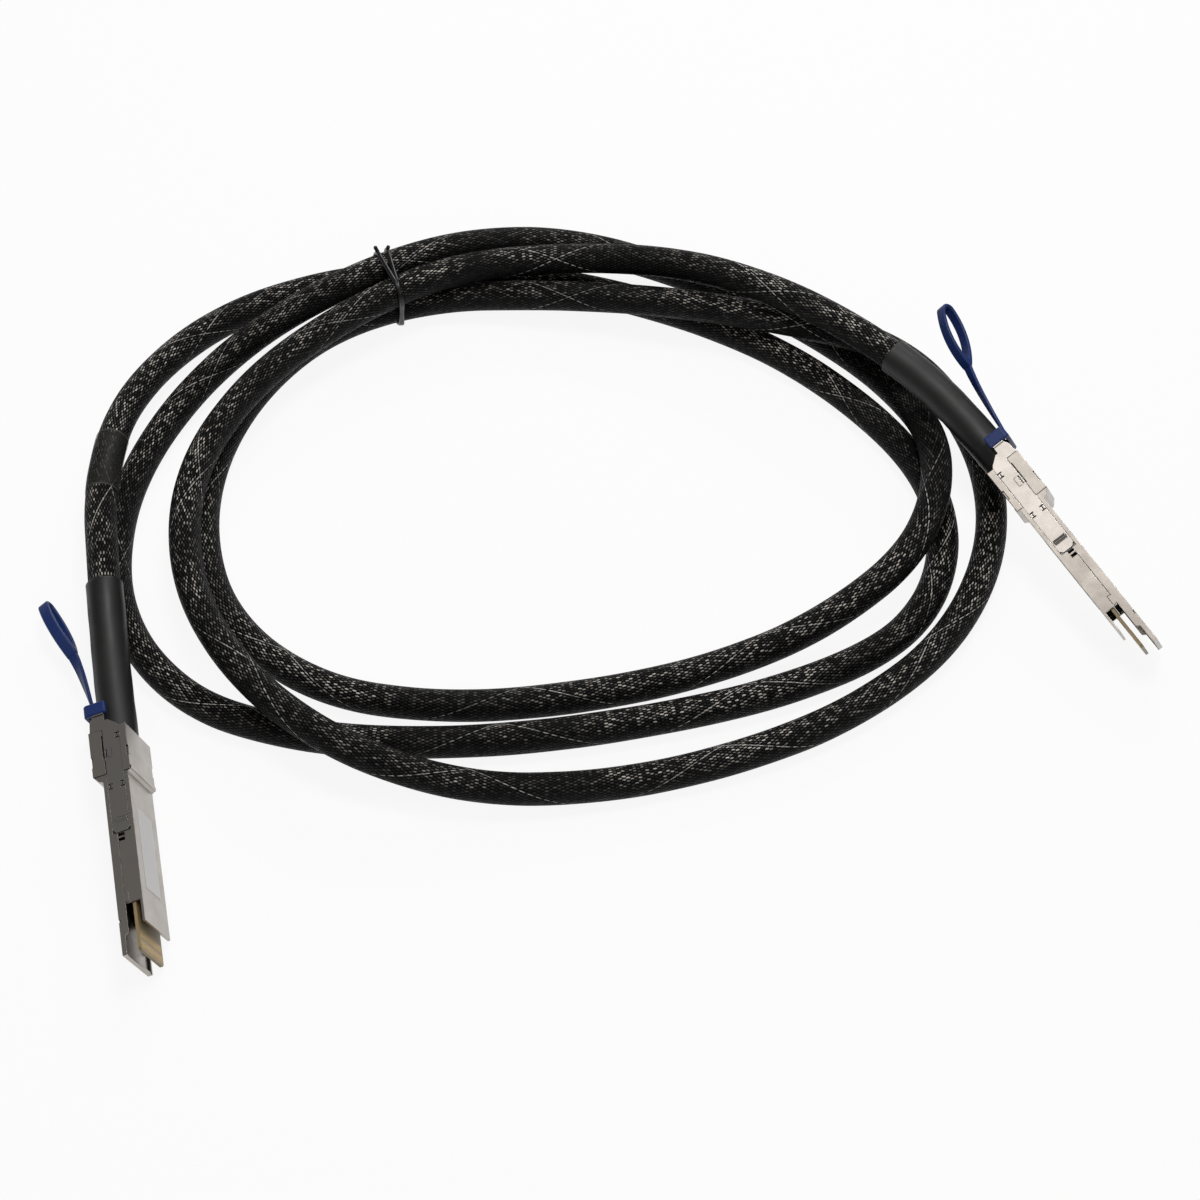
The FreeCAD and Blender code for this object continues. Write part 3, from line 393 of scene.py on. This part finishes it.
def boot(name, strand, seed, crease=None):
    """The tube's skin from the shell to its mouth, then round the lip to the braid."""
    steps = [BOOT_START + BOOT_LENGTH * step / BOOT_STEPS for step in range(BOOT_STEPS + 1)]
    reach = [BOOT_RADIUS] * len(steps)
    end = steps[-1]
    for ahead, inward in BOOT_LIP:
        steps.append(end + ahead)
        reach.append(BOOT_RADIUS - inward)

    def radius(ring, turn):
        if ring > BOOT_STEPS:
            return reach[ring]
        place, angle = steps[ring], 2 * math.pi * turn
        ripple = 0.00005 * math.sin(place / 0.0062 + seed) * math.sin(angle + seed)
        seat = 0.00004 * math.sin(place / 0.0021 + 2 * seed + 2 * angle)
        kink = 0.0
        if crease:
            kink = math.exp(-((place - crease) / CREASE_WIDTH) ** 2)
            kink *= CREASE_DEPTH * (0.5 + 0.5 * math.cos(angle + seed))
        return reach[ring] + ripple + seat - kink

    return wrap_tube(name, strand, steps, BOOT_SIDES, radius)


shrink_tube = boot_material()
from_right = Strand(list(reversed(sleeve_line.line)))
boots = [boot("boot_left", sleeve_line, 0.7),
         boot("boot_right", from_right, 2.1, BOOT_CREASE)]
for piece, node in zip(boots, ("cable_boot_a", "cable_boot_b")):
    piece.data.materials.append(shrink_tube)
    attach(piece, "cable_assembly")
    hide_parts(node)

# ---------------------------------------------------------------- tape wrap
# One turn of dull clear tape round the sleeve, a hand's width behind the left plug. The braid
# and its tracers show through it, and a highlight is painted along its two edges.
TAPE_START = 0.0975
TAPE_LENGTH = 0.0255
TAPE_RADIUS = 0.00556
TAPE_STEPS, TAPE_SIDES = 20, 40


def tape_material():
    """Hazy film, see-through, with a pale highlight painted along its two edges."""
    finish = Finish("clear_tape")
    haze = finish.noise(160.0, 3.0)
    far, _ = finish.spot()
    off_middle = finish.sum("ABSOLUTE", finish.sum(
        "SUBTRACT", far, TAPE_START + TAPE_LENGTH / 2))
    # painted highlight along the two edges of the tape
    painted_edge_highlight = finish.ramp(off_middle, TAPE_LENGTH / 2 - 0.0008, TAPE_LENGTH / 2 - 0.0003)
    film = finish.mix(haze, (0.012, 0.0115, 0.011, 1), (0.022, 0.021, 0.0195, 1))
    finish.put(colour=finish.mix(painted_edge_highlight, film, (0.075, 0.072, 0.068, 1)),
               roughness=finish.ramp(haze, 0.3, 0.7, 0.5, 0.7), alpha=0.66, gloss=0.2)
    finish.bump(finish.noise(420.0, 3.0), 0.00008)
    return finish.material


def tape_radius(ring, turn):
    """The film lies a little wavy on the braid, and its edges lift."""
    lift = 0.00005 if ring in (0, TAPE_STEPS) else 0.0
    return TAPE_RADIUS + lift + 0.00004 * math.sin(6 * math.pi * turn + ring * 0.4)


tape_rings = [TAPE_START + TAPE_LENGTH * step / TAPE_STEPS for step in range(TAPE_STEPS + 1)]
tape = wrap_tube("tape_wrap_skin", sleeve_line, tape_rings, TAPE_SIDES, tape_radius)
tape.data.materials.append(tape_material())
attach(tape, "cable_assembly")
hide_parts("tape_wrap")

# ---------------------------------------------------------------- coil tie
# A plastic-coated wire laid twice round the four strands and twisted shut on the outer side.
# Its two cut ends stand up by a few millimetres.
TIE_PLACE = Vector((-0.0752, 0.1515, 0.011))
TIE_HEADING = 20.0
TIE_SPREAD = Vector((0.0014, 0.0005, 0.0))
TIE_CROSS = 5.0
TIE_WIRE = 0.0007
TIE_SIDES = 10
BUNDLE_HALF = 0.045
LOOP_STEPS = 96
BAND_STEPS = 240
END_LENGTH, END_RISE = 0.0021, 0.0006
END_STEPS = 12
# each cut end's name, its root beside the twist and the way it leans
TIE_ENDS = (("tie_end_first", (-0.0016, 0, -0.0004), (-0.45, 0.45, 0.6)),
            ("tie_end_second", (0.0016, 0, -0.0004), (0.25, 0.5, 0.65)))


def tie_loop(heading, place):
    """Closed line round every strand that crosses the tie's plane, as a taut string."""
    along = Vector((math.cos(math.radians(heading)), math.sin(math.radians(heading)), 0.0))
    across = Vector((-along.y, along.x, 0.0))
    crossings = []
    for here, there in zip(sleeve_line.line, sleeve_line.line[1:]):
        first, second = (here - place).dot(along), (there - place).dot(along)
        if first * second <= 0 and first != second:
            spot = here.lerp(there, first / (first - second)) - place
            if abs(spot.dot(across)) < BUNDLE_HALF:
                crossings.append((spot.dot(across), spot.z))
    reach = CABLE_DIAMETER / 2 * 0.99 + TIE_WIRE
    outline = []
    for step in range(LOOP_STEPS):
        angle = 2 * math.pi * step / LOOP_STEPS
        way = (math.cos(angle), math.sin(angle))
        far = max(crossings, key=lambda spot: spot[0] * way[0] + spot[1] * way[1])
        outline.append(place + across * (far[0] + way[0] * reach)
                       + Vector((0, 0, far[1] + way[1] * reach)))
    return outline


def tie_band(name, heading, place):
    """One turn of the tie, a wire that its coating makes a little flat."""
    outline = tie_loop(heading, place)
    strand = Strand(outline + outline[:2])
    rings = [strand.length * step / BAND_STEPS for step in range(BAND_STEPS + 1)]
    return wrap_tube(name, strand, rings, TIE_SIDES, lambda ring, turn: TIE_WIRE
                     * (1.0 + 0.25 * math.cos(4 * math.pi * turn)))


def tie_material():
    """Glossy black coating, faintly worn."""
    finish = Finish("coated_wire")
    wear = finish.noise(300.0, 3.0)
    finish.put(colour=finish.mix(wear, (0.003, 0.003, 0.0035, 1), (0.007, 0.007, 0.0075, 1)),
               roughness=finish.ramp(wear, 0.3, 0.7, 0.26, 0.36), gloss=0.4)
    finish.bump(wear, 0.00005)
    return finish.material


def tie_end(name, place, lean):
    """A cut end of the tie, standing off the strands, with a rounded tip."""
    strand = Strand([place + lean * (END_LENGTH * step / END_STEPS)
                     + Vector((0, 0, END_RISE * (step / END_STEPS) ** 2))
                     for step in range(END_STEPS + 1)])
    rings = [strand.length * step / END_STEPS for step in range(END_STEPS - 2)]
    rings += [strand.length * (1 - 0.06 * left) for left in (3, 1.5, 0.6, 0.0)]
    shrink = [1.0] * (END_STEPS - 2) + [0.95, 0.82, 0.6, 0.25]
    return wrap_tube(name, strand, rings, TIE_SIDES,
                     lambda ring, turn: TIE_WIRE * shrink[ring], capped=True)


tie_bands = [tie_band("tie_band_first", TIE_HEADING + TIE_CROSS, TIE_PLACE - TIE_SPREAD),
             tie_band("tie_band_second", TIE_HEADING - TIE_CROSS, TIE_PLACE + TIE_SPREAD)]
outer_side = tie_loop(TIE_HEADING, TIE_PLACE)[LOOP_STEPS // 6]
for name, root, lean in TIE_ENDS:
    tie_bands.append(tie_end(name, outer_side + Vector(root), Vector(lean).normalized()))
coated_wire = tie_material()
for piece in tie_bands:
    piece.data.materials.append(coated_wire)
    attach(piece, "cable_assembly")
    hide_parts("cable_tie")

# ---------------------------------------------------------------- plug housings
# Two half shells of nickel-plated zinc, cast and machined, closed round the card. The plating
# is satin and faintly mottled by handling, with soft edges, and shade is painted into its seams.
SEAM_REACH = 0.0006
# the colour of the shade painted into seams and hollows
PAINTED_SEAM_SHADE = (0.035, 0.031, 0.028, 1)
METAL_EDGE = 0.00018


def soften_edges(finish, radius, samples):
    """The normals of a solid whose sharp edges are turned over by a small radius."""
    edge = finish.add("ShaderNodeBevel", samples=samples)
    edge.inputs["Radius"].default_value = radius
    return edge.outputs["Normal"]


def plated_material(name, base, dull, rough_low, rough_high):
    """Bare metal with the faint clouds of handling, shade painted into its seams and hollows, and
    softened edges.
    """
    finish = Finish(name)
    cloud = finish.ramp(finish.noise(140.0, 6.0, roughness=0.65), 0.3, 0.7)
    # ambient occlusion paints shade into seams, recesses and hollows
    crevice = finish.add("ShaderNodeAmbientOcclusion", samples=8)
    crevice.inputs["Distance"].default_value = SEAM_REACH
    open_air = finish.ramp(crevice.outputs["AO"], 0.55, 0.92)
    finish.put(colour=finish.mix(open_air, PAINTED_SEAM_SHADE, finish.mix(cloud, base, dull)),
               roughness=finish.ramp(cloud, 0.0, 1.0, rough_low, rough_high), metal=1.0)
    finish.links.new(soften_edges(finish, METAL_EDGE, 6), finish.surface.inputs["Normal"])
    return finish.material


def dress(node, material):
    """Give a piece of the frame its finish in place of the plain one."""
    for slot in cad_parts[node].material_slots:
        slot.material = material


nickel = plated_material("nickel_plate", (0.44, 0.41, 0.38, 1), (0.37, 0.34, 0.31, 1), 0.26, 0.35)
for end in ("a", "b"):
    dress(f"bottom_shell_{end}", nickel)
    dress(f"top_shell_{end}", nickel)

# ---------------------------------------------------------------- bare labels
# A blank satin film label on the wide flat face of each plug, die-cut with round corners and
# pressed on by hand.
# measured from the plug's rear and from its middle line
LABEL_FROM, LABEL_TO = 0.0285, 0.0565
LABEL_HALF = 0.0053
LABEL_CORNER = 0.0007
CORNER_STEPS = 6
LABEL_FILM, LABEL_SEAT = 0.00008, 0.00002
# each plug's rear end, and its heading, slope and roll in degrees
PLUG_PLACES = {"a": ((-0.147, -0.0384, 0.01305), (-78.7, 1.3, 106.3)),
               "b": ((0.1335, 0.0577, 0.01975), (-56.0, 8.5, -62.9))}


def plug_frame(end):
    """How a plug lies on the table: its nose is ahead on x, its wide label face is z = 0."""
    place, turns = PLUG_PLACES[end]
    heading, slope, roll = (math.radians(turn) for turn in turns)
    return (Matrix.Translation(place) @ Matrix.Rotation(heading, 4, "Z")
            @ Matrix.Rotation(slope, 4, "Y") @ Matrix.Rotation(roll, 4, "X"))


def label(name, lie):
    """The film's outline, walked corner by corner, from its seat in the face to its top."""
    outline = []
    for corner, (x, y) in enumerate(((LABEL_TO, LABEL_HALF), (LABEL_FROM, LABEL_HALF),
                                     (LABEL_FROM, -LABEL_HALF), (LABEL_TO, -LABEL_HALF))):
        middle = (x - math.copysign(LABEL_CORNER, x - (LABEL_FROM + LABEL_TO) / 2),
                  y - math.copysign(LABEL_CORNER, y))
        for step in range(CORNER_STEPS + 1):
            angle = math.pi / 2 * (corner + step / CORNER_STEPS)
            outline.append((middle[0] + LABEL_CORNER * math.cos(angle),
                            middle[1] + LABEL_CORNER * math.sin(angle)))
    count = len(outline)
    vertices = [lie @ Vector((x, y, z)) for z in (LABEL_SEAT, -LABEL_FILM) for x, y in outline]
    faces = [tuple(range(count)), tuple(reversed(range(count, 2 * count)))]
    faces += [(step, step + count, (step + 1) % count + count, (step + 1) % count)
              for step in range(count)]
    return new_piece(name, vertices, faces)


def label_material():
    """Pale satin film, faintly clouded."""
    finish = Finish("label_film")
    cloud = finish.noise(210.0, 4.0)
    finish.put(colour=finish.mix(cloud, (0.62, 0.61, 0.595, 1), (0.69, 0.68, 0.665, 1)),
               roughness=finish.ramp(cloud, 0.3, 0.7, 0.42, 0.55), gloss=0.4)
    finish.bump(finish.noise(900.0, 3.0), 0.00001)
    return finish.material


label_film = label_material()
for end in PLUG_PLACES:
    piece = label(f"label_{end}", plug_frame(end))
    piece.data.materials.append(label_film)
    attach(piece, "cable_assembly")

# ---------------------------------------------------------------- release sliders and crimps
# Stamped stainless strip, folded to a U round the rear of the shell, brighter and smoother
# than the housings. The crimped ring on the cable's braid is plain steel.
bright_strip = plated_material("stamped_strip", (0.47, 0.445, 0.42, 1), (0.41, 0.385, 0.36, 1),
                               0.22, 0.29)
plain_steel = plated_material("plain_steel", (0.55, 0.53, 0.5, 1), (0.45, 0.43, 0.4, 1),
                              0.3, 0.45)
for end in ("a", "b"):
    dress(f"release_slider_{end}", bright_strip)
    dress(f"crimp_ferrule_{end}", plain_steel)

# ---------------------------------------------------------------- return springs
# Two small coils of spring wire in each plug, between the rear wall and the slider's tabs.
# They are built at rest; in the plug they shorten as the slider is pulled, and push it back.
SPRING_START, SPRING_END = 0.0031, 0.0113
SPRING_SEAT, SPRING_LEVEL = 0.0030, 0.0041
SPRING_SIDE = 0.006945
SPRING_RADIUS = 0.00074
SPRING_WIRE = 0.00011
SPRING_TURNS = 9
CLOSED_PITCH = 0.3
TURN_STEPS, WIRE_SIDES = 16, 8


def spring(name, lie, side):
    """A coil whose first and last turns are closed up, the others evenly spread."""
    open_turns = SPRING_TURNS - 2 + 2 * CLOSED_PITCH
    advance = (SPRING_END - SPRING_START - 2 * SPRING_WIRE) / (TURN_STEPS * open_turns)
    line, spread = [], SPRING_START + SPRING_WIRE
    for step in range(SPRING_TURNS * TURN_STEPS + 1):
        turn = step / TURN_STEPS
        line.append(lie @ Vector((spread, side + SPRING_RADIUS * math.cos(2 * math.pi * turn),
                                  SPRING_LEVEL + SPRING_RADIUS * math.sin(2 * math.pi * turn))))
        closed = turn < 1 or turn >= SPRING_TURNS - 1
        spread += advance * (CLOSED_PITCH if closed else 1.0)
    strand = Strand(line)
    return wrap_tube(name, strand, strand.marks, WIRE_SIDES,
                     lambda ring, turn: SPRING_WIRE, capped=True)


for end in ("a", "b"):
    lie = plug_frame(end)
    for place, side in (("left", SPRING_SIDE), ("right", -SPRING_SIDE)):
        piece = spring(f"return_spring_{end}_{place}", lie, side)
        piece.data.materials.append(plain_steel)
        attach(piece, "cable_assembly")
        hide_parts(f"return_springs_{end}")
        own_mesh(piece)

# ---------------------------------------------------------------- card, pads and wires
# A bare laminate card with two rows of gold-plated pads on each face of its edge. The
# silvered ends of the pairs are soldered to it, and a black moulded block holds them.


def card_material():
    """Tan laminate, a little stained, with the glass weave just to be felt."""
    finish = Finish("card_laminate")
    stain = finish.noise(60.0, 3.0)
    finish.put(colour=finish.mix(stain, (0.25, 0.185, 0.085, 1), (0.33, 0.25, 0.135, 1)),
               roughness=0.4)
    finish.bump(finish.noise(700.0, 2.0), 0.00002)
    return finish.material


def clouded_material(name, base, dull, roughness, scale, depth, metal=0.0):
    """Two tones that blend in clouds of one scale, with a relief of the same clouds."""
    finish = Finish(name)
    cloud = finish.noise(scale, 3.0)
    finish.put(colour=finish.mix(cloud, base, dull), roughness=roughness, metal=metal)
    finish.bump(cloud, depth)
    return finish.material


laminate = card_material()
gold = clouded_material("gold_plate", (0.50, 0.36, 0.17, 1), (0.40, 0.285, 0.13, 1),
                        0.32, 300.0, 0.00001, metal=1.0)
black_mould = clouded_material("black_moulding", (0.012, 0.012, 0.012, 1),
                               (0.02, 0.02, 0.02, 1), 0.5, 400.0, 0.00004)
silvered = clouded_material("silvered_wire", (0.7, 0.69, 0.67, 1), (0.6, 0.59, 0.57, 1),
                            0.35, 500.0, 0.00002, metal=1.0)
for end in ("a", "b"):
    dress(f"paddle_card_{end}", laminate)
    dress(f"contact_pads_{end}", gold)
    dress(f"inner_mould_{end}", black_mould)
    dress(f"wire_pairs_{end}", silvered)

# ---------------------------------------------------------------- pull tabs
# Blue elastomer moulded over the slider's cross strap, drawn out to a twisted ribbon with a
# leaf-shaped loop for one finger. It is satin and faintly grained.
TAB_EDGE = 0.0003


def tab_material():
    """Satin blue, faintly clouded and grained, with soft edges."""
    finish = Finish("blue_elastomer")
    cloud = finish.noise(130.0, 3.0)
    finish.put(colour=finish.mix(cloud, (0.007, 0.024, 0.115, 1), (0.010, 0.031, 0.150, 1)),
               roughness=finish.ramp(cloud, 0.3, 0.7, 0.42, 0.52), gloss=0.35)
    grain = finish.bump(finish.noise(900.0, 2.0), 0.00003)
    finish.links.new(soften_edges(finish, TAB_EDGE, 4), grain.inputs["Normal"])
    return finish.material


blue_elastomer = tab_material()
for end in ("a", "b"):
    dress(f"pull_tab_{end}", blue_elastomer)

# ---------------------------------------------------------------- table, lamps and view
# A plain white table under soft studio lamps: one over the coil, a long one behind it, one
# high on the left and one in front on the right.
TABLE_HALF = 30.0
TABLE_DROP = 0.0002
TABLE_GLOW, GLOW_SHARE = 1.06, 0.85
COIL_MIDDLE = (0.0, 0.05, 0.0)


def white_table():
    """Matt board that takes the shadows, and is seen nearly white by the eye and in mirrors."""
    finish = Finish("white_table")
    finish.put(colour=(0.55, 0.55, 0.55, 1), roughness=0.9, gloss=0.1)
    glow = finish.add("ShaderNodeEmission")
    glow.inputs["Strength"].default_value = TABLE_GLOW
    ray = finish.add("ShaderNodeLightPath")
    seen = finish.sum("MAXIMUM", ray.outputs["Is Camera Ray"], ray.outputs["Is Glossy Ray"])
    seen = finish.sum("MAXIMUM", seen, ray.outputs["Is Transmission Ray"])
    mixer = finish.add("ShaderNodeMixShader")
    finish.links.new(finish.sum("MULTIPLY", seen, GLOW_SHARE), mixer.inputs[0])
    finish.links.new(finish.surface.outputs[0], mixer.inputs[1])
    finish.links.new(glow.outputs[0], mixer.inputs[2])
    finish.links.new(mixer.outputs[0], finish.nodes["Material Output"].inputs["Surface"])
    return finish.material


table = new_piece("table_top", [(-TABLE_HALF, -TABLE_HALF, 0), (TABLE_HALF, -TABLE_HALF, 0),
                                (TABLE_HALF, TABLE_HALF, 0), (-TABLE_HALF, TABLE_HALF, 0)],
                  [(0, 1, 2, 3)])
table.location.z = -TABLE_DROP
table.data.materials.append(white_table())


def lamp(name, place, aim, size, power, colour=(1.0, 1.0, 1.0)):
    """A soft rectangular lamp, its size in metres and its power in watts."""
    light = bpy.data.lights.new(name, "AREA")
    light.shape = "RECTANGLE"
    light.size, light.size_y = size
    light.energy = power
    light.color = colour
    holder = bpy.data.objects.new(name, light)
    holder.location = place
    holder.rotation_euler = (Vector(aim) - Vector(place)).to_track_quat("-Z", "Y").to_euler()
    bpy.context.collection.objects.link(holder)


lamp("lamp_over_coil", (0.1, 0.2, 1.05), COIL_MIDDLE, (0.30, 0.30), 4.8)
lamp("lamp_behind", (0.2, 1.3, 0.8), COIL_MIDDLE, (0.9, 0.3), 9.0)
lamp("lamp_left", (-0.50, -0.1, 1.35), (0.0, 0.0, 0.0), (0.6, 0.5), 1.9, (1.0, 0.965, 0.925))
lamp("lamp_front", (0.5, -1.2, 1.2), (0.0, 0.0, 0.0), (0.8, 0.5), 3.0)

world = bpy.data.worlds.new("studio")
world.use_nodes = True
sky = world.node_tree.nodes["Background"]
sky.inputs["Color"].default_value = (0.92, 0.92, 0.92, 1)
sky.inputs["Strength"].default_value = 0.2
bpy.context.scene.world = world
bpy.context.scene.view_settings.view_transform = "Standard"
